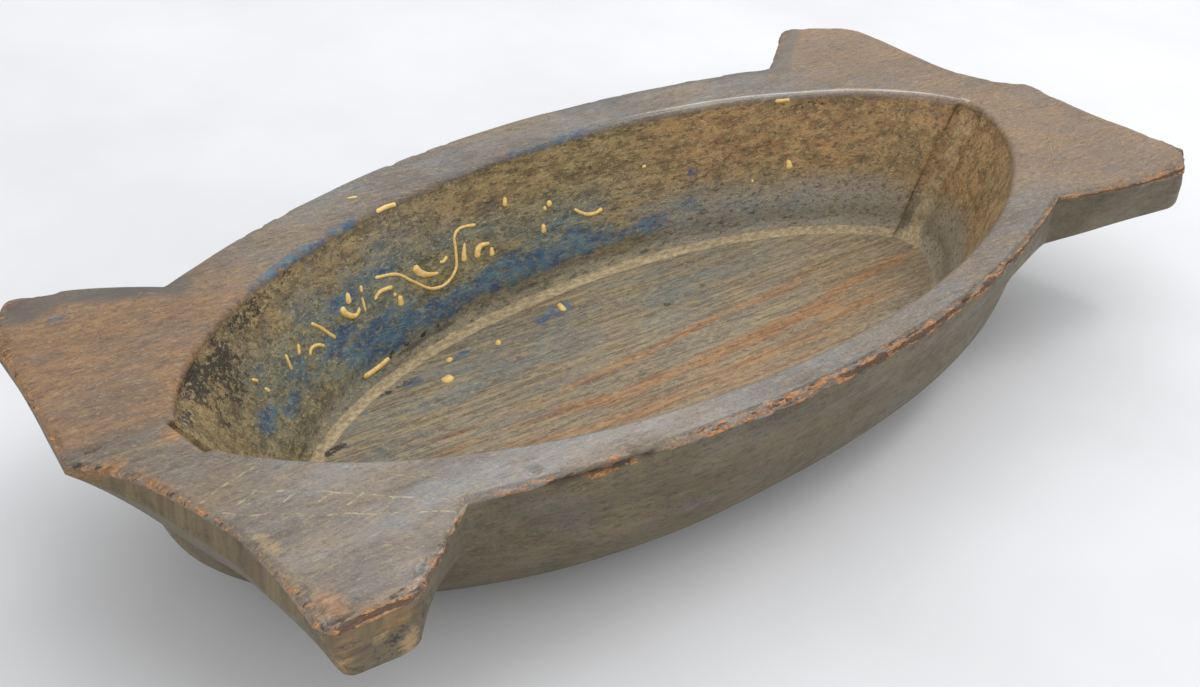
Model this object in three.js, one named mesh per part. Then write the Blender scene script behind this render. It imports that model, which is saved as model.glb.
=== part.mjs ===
// A hand-carved wooden dough bowl, cut from one thick plank: a pointed oval hollow with a flat floor,
// a flat rim, a boat-shaped hull that stands on a flat foot, and four ears that flare from the corners.
// Millimetres, +Z up. The origin lies under the middle of the bowl, on the surface that it stands on.
// X runs along the bowl, Y across it. "Left" and "right" are its two ends, "back" is +Y, "front" is -Y.

import * as THREE from "three";
import { mergeVertices } from "three/addons/utils/BufferGeometryUtils.js";

// Overall sizes.
const height = 85;
const leftLength = 299; // from the middle to the left prow
const rightLength = 304;
const leftProwOffset = 8; // the prows lie a little to the back of the middle line
const rightProwOffset = 1;
const backWidth = 129; // from the middle line to the rim's outer edge
const frontWidth = 132.5;

// The hollow, at the rim and at the floor; its own middle line runs a little to the front.
const hollowOffset = -4;
const hollowLeft = 254;
const hollowRight = 254;
const hollowBack = 102; // half-widths, from the hollow's middle line
const hollowFront = 109;
const leftEndWidth = 24; // the short straight cut across each end of the hollow
const rightEndWidth = 14;
const floorThickness = 14;
const floorLeft = 196;
const floorRight = 215;
const floorBack = 77;
const floorFront = 86;
const floorDish = 1.5; // the floor is worn lower in its middle
const wallFoot = 2; // how far the foot of the wall eases out over the floor
const wallFootHeight = 0.2; // share of the wall's height that the ease takes

// Edges worn round by use.
const innerWear = 4;
const outerWear = 2.5;
const frontWear = 4.5; // the front edge is worn most
const tipWear = 5; // the tips of the ears are worn rounder

// The hull below the rim.
const lipSlope = 2.5; // the steep band along the sides leans in this much by its lower edge
const sideBand = 16; // depth of that band
const underBow = 3; // the sides of the ears are cut in this much at their underside
const prowReach = 8; // how far a prow stands out over its underside
const prowDepth = 11; // depth of that underside
const prowDrop = 3; // depth of the straight face at each prow
const endLean = 0.1; // the straight face of an end takes this share of the cut under it
const turn = 2.5; // the lower edge of ears and prows is rounded this much
const shoulderDepth = 31; // where ears and prows run into the hull
const shoulderLeft = 263;
const shoulderRight = 255;
const shoulderBack = 123;
const shoulderFront = 124;
const footLeft = 194;
const footRight = 168;
const footBack = 64;
const footFront = 69;
const bilge = 2; // fullness of the hull's section between shoulder and foot

// Fullness of the ovals: |x/a|^length + |y/b|^width = 1.
const hollowOval = { length: 2.1, width: 1.6 };
const shoulderOval = { length: 2.4, width: 1.7 };
const footOval = { length: 2.2, width: 1.8 };

// The four ears, each measured as if it stood in the right-back quarter. The top has a notch where the ear
// leaves the rim, a side corner, a tip corner and an end line that runs on to the prow. Each point of the
// underside is set in from the top's by its undercut (to the bowl's middle, to its middle line); a negative
// one flares out. The depths of the underside are those at the notch, the side corner, the tip corner and
// the middle of the end. The end face hangs straight down as far as its drop and is cut back under that.
const ears = {
  rightBack: {
    notch: [201, 97], side: [257, 134], tip: [296, 109], end: [[293, 80], [289, 38], [296, 12]],
    undercut: { side: [1, 3], tip: [9, 2], end: [[8, 2], [8, 0], [8, -2]] },
    sideBow: 1, cornerRound: 9, depths: [27, 24, 22, 25], drops: [3, 12],
  },
  leftBack: {
    notch: [199, 93], side: [253, 126], tip: [274, 103], end: [[278, 85], [284, 60], [292, 30]],
    undercut: { side: [3, 4], tip: [7, 3], end: [[7, 2], [8, 0], [7, -2]] },
    sideBow: -2.5, cornerRound: 9, depths: [27, 18, 13, 13], drops: [3, 4],
  },
  leftFront: {
    notch: [202, 99], side: [247, 125], tip: [285, 121], end: [[280, 93], [277, 58], [284, 16]],
    undercut: { side: [0, 2], tip: [10, 0], end: [[9, 3], [6, 2], [5, -4]] },
    sideBow: -0.5, cornerRound: 6, depths: [28, 29, 27, 25], drops: [2, 12],
  },
  rightFront: {
    notch: [194, 98], side: [282, 121], tip: [311, 106], end: [[305, 78], [304.5, 42], [309, 9]],
    undercut: { side: [-6, 3], tip: [5, -3], end: [[6, -2], [7.5, 0], [8, -2]] },
    sideBow: -3, cornerRound: 7, depths: [29, 27, 25, 26], drops: [3, 12],
  },
};

// Steps of the loft.
const sideSteps = 14; // from the middle of a side to a notch
const earSideSteps = 6;
const earTipSteps = 7;
const earEndSteps = 15;
const notchShare = 0.7; // share of each oval's quarter that lies abreast of the side
const earTipShare = 0.3; // share of the rest that lies abreast of an ear's side and tip

const lerp = (a, b, t) => a + (b - a) * t;
const mix = (p, q, t) => p.map((value, axis) => lerp(value, q[axis], t));

// One quarter of an oval, from (0, b) to (a, 0), with its point cut straight across.
// Returns a function from a share of its length to the point there.
function ovalQuarter(a, b, oval, endWidth = 0) {
  const points = [];
  const fineSteps = 240;
  for (let step = 0; step <= fineSteps; step += 1) {
    const x = a * Math.sin((step / fineSteps) * Math.PI / 2);
    const y = b * (1 - (x / a) ** oval.length) ** (1 / oval.width);
    if (y < endWidth / 2) break;
    points.push(new THREE.Vector2(x, y));
  }
  points.push(new THREE.Vector2(a, endWidth / 2), new THREE.Vector2(a, 0));
  const lengths = [0];
  for (let i = 1; i < points.length; i += 1) {
    lengths.push(lengths[i - 1] + points[i].distanceTo(points[i - 1]));
  }
  const total = lengths[lengths.length - 1];
  return (share) => {
    const wanted = Math.min(share, 1) * total;
    let i = 1;
    while (i < points.length - 1 && lengths[i] < wanted) i += 1;
    const part = (wanted - lengths[i - 1]) / (lengths[i] - lengths[i - 1]);
    const point = points[i - 1].clone().lerp(points[i], part);
    return [point.x, point.y];
  };
}

const vector = ([x, y]) => new THREE.Vector2(x, y);
const setIn = (point, distances) => point.map((value, axis) => value - distances[axis]);

// The point at a distance from p on the way to q.
function toward(p, q, distance) {
  return mix(p, q, distance / vector(p).distanceTo(vector(q)));
}

// A bowed line from p to q; a positive bow hollows the line toward the bowl.
function bowed(p, q, t, bow) {
  const along = new THREE.Vector2(q[0] - p[0], q[1] - p[1]).normalize();
  const depth = 4 * bow * t * (1 - t);
  return [lerp(p[0], q[0], t) + along.y * depth, lerp(p[1], q[1], t) - along.x * depth];
}

// A corner rounded by a curve from the point before it to the point after it.
function roundedCorner(before, corner, after) {
  return new THREE.QuadraticBezierCurve(vector(before), vector(corner), vector(after));
}

// The line of one quarter of an outline, from the middle of the side to the prow, as points at every step.
function quarterLine({ notch, side, tip, end, sideBow, cornerRound }, width, prow) {
  const points = [];
  for (let step = 0; step < sideSteps; step += 1) {
    const u = step / sideSteps;
    points.push([u * notch[0], lerp(width, notch[1], u * u)]);
  }
  const widestRound = 0.45; // of the tip's width
  const tipRound = Math.min(cornerRound, vector(side).distanceTo(vector(tip)) * widestRound);
  const beforeSide = toward(side, notch, cornerRound);
  const afterTip = toward(tip, end[0], cornerRound);
  for (let step = 0; step < earSideSteps; step += 1) {
    points.push(bowed(notch, beforeSide, step / earSideSteps, sideBow));
  }
  const tipLine = new THREE.CurvePath();
  const afterSide = toward(side, tip, tipRound);
  const beforeTip = toward(tip, side, tipRound);
  tipLine.add(roundedCorner(beforeSide, side, afterSide));
  tipLine.add(new THREE.LineCurve(vector(afterSide), vector(beforeTip)));
  tipLine.add(roundedCorner(beforeTip, tip, afterTip));
  for (let step = 0; step < earTipSteps; step += 1) {
    points.push(tipLine.getPoint(step / earTipSteps).toArray());
  }
  const endLine = new THREE.SplineCurve([afterTip, ...end, prow].map(vector));
  for (let step = 0; step <= earEndSteps; step += 1) {
    points.push(endLine.getPointAt(step / earEndSteps).toArray());
  }
  return points;
}

// For every step of a quarter: its share along the inner ovals, the depth of the underside, the drop of
// the straight face above it, the wear of the top edge, and how much of the cut the straight face takes.
function quarterDepths(ear, sideWear) {
  const [atNotch, atSide, atTip, atEnd] = ear.depths;
  const [tipDrop, endDrop] = ear.drops;
  const rest = 1 - notchShare;
  const steps = [];
  const addSideStep = (share, depth, drop, wear) => {
    steps.push({ share, depth, drop, wear, lean: (drop - wear) / (depth - wear) });
  };
  for (let step = 0; step < sideSteps; step += 1) {
    const u = step / sideSteps;
    const depth = lerp(sideBand, atNotch, u ** 6);
    addSideStep(notchShare * u, depth, depth / 2, lerp(sideWear, outerWear, u * u));
  }
  for (let step = 0; step < earSideSteps; step += 1) {
    const t = step / earSideSteps;
    const share = notchShare + rest * earTipShare * 0.5 * t;
    const depth = lerp(atNotch, atSide, t);
    addSideStep(share, depth, depth / 2, lerp(outerWear, tipWear, t * t));
  }
  for (let step = 0; step < earTipSteps; step += 1) {
    const t = step / earTipSteps;
    const share = notchShare + rest * earTipShare * 0.5 * (1 + t);
    const drop = lerp(atSide / 2, tipDrop + tipWear, t);
    addSideStep(share, lerp(atSide, atTip, t), drop, tipWear);
  }
  const full = 0.25; // from this share of the end on, its straight face has its whole drop
  for (let step = 0; step <= earEndSteps; step += 1) {
    const t = step / earEndSteps;
    const wear = lerp(tipWear, outerWear, Math.min(1, t / full));
    const past = Math.max(0, (t - full) / (1 - full)) ** 3;
    const drop = lerp(lerp(tipDrop, endDrop, Math.min(1, t / full)), prowDrop, past);
    const depth = t < 0.5 ? lerp(atTip, atEnd, 2 * t) : lerp(atEnd, prowDepth, (2 * t - 1) ** 1.5);
    const share = notchShare + rest * lerp(earTipShare, 1, t);
    steps.push({ share, depth, drop: drop + wear, wear, lean: endLean });
  }
  return steps;
}

// Walks round the bowl, quarter by quarter, and gives every station its points on all the ovals.
function allStations() {
  const quarters = [
    { ear: ears.rightBack, sx: 1, sy: 1 },
    { ear: ears.rightFront, sx: 1, sy: -1 },
    { ear: ears.leftFront, sx: -1, sy: -1 },
    { ear: ears.leftBack, sx: -1, sy: 1 },
  ];
  const stations = [];
  quarters.forEach(({ ear, sx, sy }) => {
    const end = (right, left) => (sx > 0 ? right : left);
    const side = (back, front) => (sy > 0 ? back : front);
    const prow = [end(rightLength, leftLength), sy * end(rightProwOffset, leftProwOffset)];
    const width = side(backWidth, frontWidth);
    const outline = quarterLine(ear, width, prow);
    const underside = {
      notch: setIn(ear.notch, [0, lipSlope]),
      side: setIn(ear.side, ear.undercut.side),
      tip: setIn(ear.tip, ear.undercut.tip),
      end: ear.end.map((point, i) => setIn(point, ear.undercut.end[i])),
      sideBow: ear.sideBow + underBow,
      cornerRound: ear.cornerRound,
    };
    const under = quarterLine(underside, width - lipSlope, [prow[0] - prowReach, prow[1]]);
    const length = end(hollowRight, hollowLeft);
    const half = side(hollowBack, hollowFront);
    const endWidth = end(rightEndWidth, leftEndWidth);
    const hollow = ovalQuarter(length, half, hollowOval, endWidth);
    const worn = ovalQuarter(length + innerWear, half + innerWear, hollowOval, endWidth + innerWear);
    const floor = ovalQuarter(
      end(floorRight, floorLeft), side(floorBack, floorFront), hollowOval, endWidth);
    const shoulder = ovalQuarter(
      end(shoulderRight, shoulderLeft), side(shoulderBack, shoulderFront), shoulderOval);
    const foot = ovalQuarter(end(footRight, footLeft), side(footBack, footFront), footOval);
    const place = (point, offset = 0) => [sx * point[0], sy * point[1] + offset];
    let quarter = quarterDepths(ear, side(outerWear, frontWear)).map((step, i) => ({
      ...step,
      outline: place(outline[i]),
      under: place(under[i]),
      worn: place(worn(step.share), hollowOffset),
      hollow: place(hollow(step.share), hollowOffset),
      floor: place(floor(step.share), hollowOffset),
      shoulder: place(shoulder(step.share)),
      foot: place(foot(step.share)),
    }));
    // quarters one and three run away from the middle of a side, the others toward it
    if (sx * sy < 0) quarter = quarter.reverse();
    stations.push(...quarter.slice(0, -1));
  });
  return stations;
}

// Moves every point of the closed outline toward its inside, by a share of the wear there.
function wornOutline(stations, amount) {
  return stations.map((station, i) => {
    const before = stations[(i + stations.length - 1) % stations.length].outline;
    const after = stations[(i + 1) % stations.length].outline;
    const along = new THREE.Vector2(after[0] - before[0], after[1] - before[1]).normalize();
    const distance = station.wear * amount;
    return [station.outline[0] + along.y * distance, station.outline[1] - along.x * distance];
  });
}

function bowlRings() {
  const stations = allStations();
  const rings = [];
  const ring = (place) => rings.push(stations.map((station, i) => new THREE.Vector3(...place(station, i))));
  const depth = height - floorThickness;

  // floor, from near its middle to the foot of the wall
  const floorShares = [0.3, 0.62, 0.94];
  floorShares.forEach((share) => ring(({ floor }) => [
    ...mix([0, hollowOffset], floor, share), floorThickness - floorDish * (1 - share * share),
  ]));
  // wall: a short ease at its foot, then steep and almost straight to the worn edge of the rim
  const wallSteps = [0.02, 0.1, 0.35, 0.65];
  wallSteps.forEach((t) => ring(({ floor, hollow }) => {
    const run = Math.hypot(hollow[0] - floor[0], hollow[1] - floor[1]);
    const ease = (wallFoot / run) * Math.sin(Math.PI * Math.min(1, t / wallFootHeight));
    return [...mix(floor, hollow, t + ease), floorThickness + t * (depth - innerWear)];
  }));
  ring(({ hollow }) => [...hollow, height - innerWear]);
  const halfTurned = 1 - Math.SQRT1_2;
  ring(({ hollow, worn }) => [...mix(hollow, worn, halfTurned), height - innerWear * halfTurned]);
  ring(({ worn }) => [...worn, height]);
  // flat rim and the tops of the ears, and the worn turn to the outer faces
  const topEdge = wornOutline(stations, 1);
  const halfWorn = wornOutline(stations, halfTurned);
  ring(({ worn }, i) => [...mix(worn, topEdge[i], 0.5), height]);
  ring((station, i) => [...topEdge[i], height]);
  ring(({ wear }, i) => [...halfWorn[i], height - wear * halfTurned]);
  ring(({ outline, wear }) => [...outline, height - wear]);
  // the straight face, the cut under it, and the flat underside as far as the shoulder of the hull
  const faceFoot = ({ outline, under, lean }) => mix(outline, under, lean);
  ring((station) => [...faceFoot(station), height - station.drop]);
  ring((station) => {
    const { under, drop, depth } = station;
    const share = (depth - turn - drop) / (depth - drop);
    return [...mix(faceFoot(station), under, share), height - depth + turn];
  });
  ring(({ under, shoulder, depth }) => [...toward(under, shoulder, turn / 2), height - depth]);
  const flatPart = 0.55; // of the way to the shoulder
  ring(({ under, shoulder, depth }) => [
    ...mix(under, shoulder, flatPart), height - lerp(depth, shoulderDepth, flatPart),
  ]);
  ring(({ shoulder }) => [...shoulder, height - shoulderDepth]);
  // bilge: a full curve from the shoulder to the foot
  const bilgeAngles = [18, 36, 54, 70];
  bilgeAngles.forEach((degrees) => ring(({ shoulder, foot }) => {
    const angle = THREE.MathUtils.degToRad(degrees);
    const inward = 1 - Math.cos(angle) ** (2 / bilge);
    const down = Math.sin(angle) ** (2 / bilge);
    return [...mix(shoulder, foot, inward), (height - shoulderDepth) * (1 - down)];
  }));
  // flat foot
  [1, 0.5].forEach((share) => ring(({ foot }) => [foot[0] * share, foot[1] * share, 0]));
  return rings;
}

// Joins closed rings with triangles and closes the first and last with a centre point.
function loftSolid(rings, firstCentre, lastCentre) {
  const count = rings[0].length;
  const positions = [];
  rings.forEach((ring) => ring.forEach((point) => positions.push(point.x, point.y, point.z)));
  const first = rings.length * count;
  const last = first + 1;
  positions.push(...firstCentre.toArray(), ...lastCentre.toArray());
  const indices = [];
  for (let i = 0; i < count; i += 1) {
    const next = (i + 1) % count;
    indices.push(first, next, i);
    for (let k = 0; k < rings.length - 1; k += 1) {
      const a = k * count + i;
      const b = k * count + next;
      indices.push(a, b + count, a + count, a, b, b + count);
    }
    const base = (rings.length - 1) * count;
    indices.push(last, base + i, base + next);
  }
  const geometry = new THREE.BufferGeometry();
  geometry.setAttribute("position", new THREE.Float32BufferAttribute(positions, 3));
  geometry.setIndex(indices);
  const merged = mergeVertices(geometry, 1e-4);
  merged.computeVertexNormals();
  return merged;
}

const wood = new THREE.MeshStandardMaterial({ color: 0x6b543c, roughness: 0.62, metalness: 0 });
const bowl = new THREE.Mesh(
  loftSolid(
    bowlRings(),
    new THREE.Vector3(0, hollowOffset, floorThickness - floorDish),
    new THREE.Vector3(0, 0, 0),
  ),
  wood,
);
bowl.name = "carved_bowl";
// the ears differ a little in reach, so the bowl is shifted until the origin lies under its middle
const middle = new THREE.Box3().setFromObject(bowl).getCenter(new THREE.Vector3());
bowl.position.set(-middle.x, -middle.y, 0);

const object = new THREE.Group();
object.add(bowl);

export default object;
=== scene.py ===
"""A hand-carved wooden dough bowl with four ears, dark and worn, with rests of blue and yellow paint."""

import functools
import itertools
import math

import bpy
import numpy as np
from mathutils import Matrix, Vector
from mathutils.bvhtree import BVHTree


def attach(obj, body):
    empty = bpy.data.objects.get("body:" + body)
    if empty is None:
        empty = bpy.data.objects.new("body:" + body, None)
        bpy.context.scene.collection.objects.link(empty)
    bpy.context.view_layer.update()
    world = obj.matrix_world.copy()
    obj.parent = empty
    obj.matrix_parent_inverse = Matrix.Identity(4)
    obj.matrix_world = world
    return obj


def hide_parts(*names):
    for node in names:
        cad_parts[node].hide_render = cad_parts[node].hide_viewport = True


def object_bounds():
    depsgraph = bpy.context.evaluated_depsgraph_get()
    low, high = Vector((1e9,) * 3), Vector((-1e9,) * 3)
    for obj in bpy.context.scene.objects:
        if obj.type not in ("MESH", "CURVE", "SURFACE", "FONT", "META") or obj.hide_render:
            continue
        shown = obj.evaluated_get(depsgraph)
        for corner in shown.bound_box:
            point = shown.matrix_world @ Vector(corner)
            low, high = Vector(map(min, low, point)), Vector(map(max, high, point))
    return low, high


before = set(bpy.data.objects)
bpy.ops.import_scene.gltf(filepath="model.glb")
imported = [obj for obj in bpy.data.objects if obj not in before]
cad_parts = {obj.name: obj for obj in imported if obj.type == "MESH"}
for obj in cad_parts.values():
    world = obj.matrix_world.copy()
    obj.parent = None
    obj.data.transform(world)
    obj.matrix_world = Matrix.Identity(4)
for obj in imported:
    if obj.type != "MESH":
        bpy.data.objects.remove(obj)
start_box = [list(corner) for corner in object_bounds()]

# The carved form, in millimetres from the bowl's middle, with the sizes of the solid model. What differs
# from end to end is kept by the sign of x, what differs from front to back by the sign of y.
HEIGHT = 85.0
LENGTH = {-1: 299.0, 1: 304.0}
WIDTH = {1: 129.0, -1: 132.5}
PROW_OFFSET = {-1: 8.0, 1: 1.0}
HOLLOW_OFFSET = -4.0
HOLLOW_LENGTH = {-1: 254.0, 1: 254.0}
HOLLOW_WIDTH = {1: 102.0, -1: 109.0}
END_WIDTH = {-1: 24.0, 1: 14.0}
FLOOR_Z, FLOOR_DISH = 14.0, 1.5
FLOOR_LENGTH = {-1: 196.0, 1: 215.0}
FLOOR_WIDTH = {1: 77.0, -1: 86.0}
# The wall is hollowed a little over this share of its height, and its edges are worn round.
WALL_FOOT, WALL_FOOT_HEIGHT = 2.0, 0.2
INNER_WEAR, OUTER_WEAR, TIP_WEAR = 4.0, 2.5, 5.0
SIDE_WEAR = {1: OUTER_WEAR, -1: 4.5}
END_WEAR_SHARE = 0.25
# The face under the rim leans in, is deeper at the ears and turns into their undersides.
LIP_SLOPE, SIDE_BAND, UNDER_BOW, TURN = 2.5, 16.0, 3.0, 2.5
PROW_REACH, PROW_DEPTH, PROW_DROP, END_LEAN = 8.0, 11.0, 3.0, 0.1
# The hull swells from the shoulder to the foot. An oval has one power for each axis.
SHOULDER_DEPTH = 31.0
SHOULDER_LENGTH = {-1: 263.0, 1: 255.0}
SHOULDER_WIDTH = {1: 123.0, -1: 124.0}
FOOT_LENGTH = {-1: 194.0, 1: 168.0}
FOOT_WIDTH = {1: 64.0, -1: 69.0}
BILGE = 2.0
HOLLOW_OVAL, SHOULDER_OVAL, FOOT_OVAL = (2.1, 1.6), (2.4, 1.7), (2.2, 1.8)
# The shares of an oval's quarter that lie before the notch and, of the rest, beside the ear's tip.
NOTCH_SHARE, EAR_TIP_SHARE = 0.7, 0.3
# The surface stays this far inside the solid's box.
BOX_GAP = 0.02

# Each ear in the quarter that it stands in (sign of x, sign of y): its top, its underside, the depths of the
# underside at notch, side, tip and end, and the drops of the straight face at tip and end.
EARS = {
    (1, 1): {
        "top": ((201, 97), (257, 134), (296, 109), [(293, 80), (289, 38), (296, 12)]),
        "under": ((256, 131), (287, 107), [(285, 78), (281, 38), (288, 14)]),
        "bow": 1, "round": 9, "depths": (27, 24, 22, 25), "drops": (3, 12),
    },
    (-1, 1): {
        "top": ((199, 93), (253, 126), (274, 103), [(278, 85), (284, 60), (292, 30)]),
        "under": ((250, 122), (267, 100), [(271, 83), (276, 60), (285, 32)]),
        "bow": -2.5, "round": 9, "depths": (27, 18, 13, 13), "drops": (3, 4),
    },
    (-1, -1): {
        "top": ((202, 99), (247, 125), (285, 121), [(280, 93), (277, 58), (284, 16)]),
        "under": ((247, 123), (275, 121), [(271, 90), (271, 56), (279, 20)]),
        "bow": -0.5, "round": 6, "depths": (28, 29, 27, 25), "drops": (2, 12),
    },
    (1, -1): {
        "top": ((194, 98), (282, 121), (311, 106), [(305, 78), (304.5, 42), (309, 9)]),
        "under": ((288, 118), (306, 109), [(299, 80), (297, 42), (301, 11)]),
        "bow": -3, "round": 7, "depths": (29, 27, 25, 26), "drops": (3, 12),
    },
}
SIDE_STEPS, EAR_SIDE_STEPS, EAR_TIP_STEPS, EAR_END_STEPS = 150, 24, 28, 60

# Names of the surface's zones, from the middle of the floor to the middle of the foot.
FLOOR, WALL, INNER_EDGE, TOP, OUTER_EDGE, FACE, CUT, UNDERSIDE, HULL, FOOT = range(10)


def lerp(a, b, t):
    return a + (b - a) * t


def smooth(lo, hi, value):
    t = np.clip((value - lo) / (hi - lo), 0, 1)
    return t * t * (3 - 2 * t)


def bell(distance, width):
    return np.exp(-(distance / width) ** 2)


# Noise that is the same on every run.
def lattice(ix, iy, iz, seed):
    h = (ix * 374761393 + iy * 668265263 + iz * 1440662683 + seed * 974634777) & 0xFFFFFFFF
    h = ((h ^ (h >> 13)) * 1274126177) & 0xFFFFFFFF
    h = ((h ^ (h >> 16)) * 2246822519) & 0xFFFFFFFF
    return ((h ^ (h >> 15)) & 0xFFFFFF) / float(0xFFFFFF)


def noise(points, size, seed, octaves=1):
    """Smooth noise from -1 to 1 at (n, 3) points; size is one length or three."""
    total, weight, scale = 0.0, 0.0, 1.0
    for octave in range(octaves):
        q = points / (np.asarray(size, float) * scale)
        cell = np.floor(q).astype(np.int64)
        f = q - cell
        f = f * f * (3 - 2 * f)
        value = 0.0
        for step in itertools.product((0, 1), repeat=3):
            share = np.abs(1 - np.array(step) - f).prod(-1)
            value = value + share * lattice(*(cell + step).T, seed + octave)
        total = total + (2 * value - 1) * scale
        weight += scale
        scale *= 0.5
    return total / weight


# The lines of the carved form, each as points in plan.
def along(curve, shares):
    """Points at shares of a fine curve's length."""
    length = np.concatenate([[0], np.cumsum(np.hypot(*np.diff(curve, axis=0).T))])
    length /= length[-1]
    return np.stack([np.interp(shares, length, curve[:, k]) for k in (0, 1)], -1)


def oval_quarter(shares, a, b, oval, end_width=0.0):
    """One quarter of an oval with a straight end, at shares of its length."""
    x = a * np.sin(np.linspace(0, np.pi / 2, 700))
    y = b * np.clip(1 - (x / a) ** oval[0], 0, None) ** (1 / oval[1])
    keep = y >= end_width / 2
    x = np.append(x[keep], [a, a])
    y = np.append(y[keep], [end_width / 2, 0])
    return along(np.stack([x, y], -1), shares)


def toward(p, q, distance):
    """The points at a distance from p on the way to q."""
    p, q = np.asarray(p, float), np.asarray(q, float)
    return p + (q - p) * distance / np.linalg.norm(q - p, axis=-1, keepdims=True)


def bowed(p, q, t, bow):
    """Points at shares t of the way from p to q, on a curve that bows out."""
    p, q = np.asarray(p, float), np.asarray(q, float)
    way = (q - p) / np.hypot(*(q - p))
    depth = 4 * bow * t * (1 - t)
    return p + (q - p) * t[:, None] + np.array([way[1], -way[0]]) * depth[:, None]


def rounded_corner(before, corner, after):
    t = np.linspace(0, 1, 60)[:, None]
    return (1 - t) ** 2 * before + 2 * t * (1 - t) * np.asarray(corner, float) + t ** 2 * after


def spline(knots):
    """A fine smooth curve through the knots."""
    knots = np.asarray(knots, float)
    ends = np.concatenate([knots[:1], knots, knots[-1:]])
    t = np.linspace(0, 1, 50, endpoint=False)[:, None]
    pieces = []
    for p0, p1, p2, p3 in zip(ends[:-3], ends[1:-2], ends[2:-1], ends[3:]):
        v0, v1 = (p2 - p0) / 2, (p3 - p1) / 2
        cubic, square = 2 * p1 - 2 * p2 + v0 + v1, 3 * p2 - 3 * p1 - 2 * v0 - v1
        pieces.append(cubic * t ** 3 + square * t ** 2 + v0 * t + p1)
    return np.concatenate(pieces + [knots[-1:]])


def quarter_line(notch, side, tip, end, bow, corner_round, width, prow):
    """One quarter of an outline, from the middle of the side, round the ear, to the prow."""
    u = np.arange(SIDE_STEPS) / SIDE_STEPS
    tip_round = min(corner_round, 0.45 * math.dist(side, tip))
    before_side = toward(side, notch, corner_round)
    after_tip = toward(tip, end[0], corner_round)
    tip_curve = np.concatenate([
        rounded_corner(before_side, side, toward(side, tip, tip_round)),
        rounded_corner(toward(tip, side, tip_round), tip, after_tip),
    ])
    return np.concatenate([
        np.stack([u * notch[0], lerp(width, notch[1], u * u)], -1),
        bowed(notch, before_side, np.arange(EAR_SIDE_STEPS) / EAR_SIDE_STEPS, bow),
        along(tip_curve, np.arange(EAR_TIP_STEPS) / EAR_TIP_STEPS),
        along(spline([after_tip, *end, prow]), np.linspace(0, 1, EAR_END_STEPS + 1)),
    ])


def quarter_depths(ear, side_wear):
    """Share along the ovals, depth of the underside, drop of the face, wear and lean, at every step."""
    at_notch, at_side, at_tip, at_end = ear["depths"]
    tip_drop, end_drop = ear["drops"]
    rest = 1 - NOTCH_SHARE
    side, ear_side, ear_tip = (np.arange(n) / n for n in (SIDE_STEPS, EAR_SIDE_STEPS, EAR_TIP_STEPS))
    t = np.linspace(0, 1, EAR_END_STEPS + 1)
    worn = np.clip(t / END_WEAR_SHARE, 0, 1)
    past = np.clip((t - END_WEAR_SHARE) / (1 - END_WEAR_SHARE), 0, 1) ** 3
    to_prow = np.clip(2 * t - 1, 0, 1) ** 1.5
    share = [
        NOTCH_SHARE * side, NOTCH_SHARE + rest * EAR_TIP_SHARE * 0.5 * ear_side,
        NOTCH_SHARE + rest * EAR_TIP_SHARE * 0.5 * (1 + ear_tip),
        NOTCH_SHARE + rest * lerp(EAR_TIP_SHARE, 1, t),
    ]
    depth = [
        lerp(SIDE_BAND, at_notch, side ** 6), lerp(at_notch, at_side, ear_side),
        lerp(at_side, at_tip, ear_tip),
        np.where(t < 0.5, lerp(at_tip, at_end, 2 * t), lerp(at_end, PROW_DEPTH, to_prow)),
    ]
    wear = [
        lerp(side_wear, OUTER_WEAR, side ** 2), lerp(OUTER_WEAR, TIP_WEAR, ear_side ** 2),
        np.full(EAR_TIP_STEPS, TIP_WEAR), lerp(TIP_WEAR, OUTER_WEAR, worn),
    ]
    drop = [
        depth[0] / 2, depth[1] / 2, lerp(at_side / 2, tip_drop + TIP_WEAR, ear_tip),
        lerp(lerp(tip_drop, end_drop, worn), PROW_DROP, past) + wear[3],
    ]
    lean = [(d - w) / (h - w) for h, d, w in zip(depth[:3], drop, wear)] + [np.full(len(t), END_LEAN)]
    made = {"share": share, "depth": depth, "drop": drop, "wear": wear, "lean": lean}
    return {name: np.concatenate(values)[:, None] for name, values in made.items()}


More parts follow.
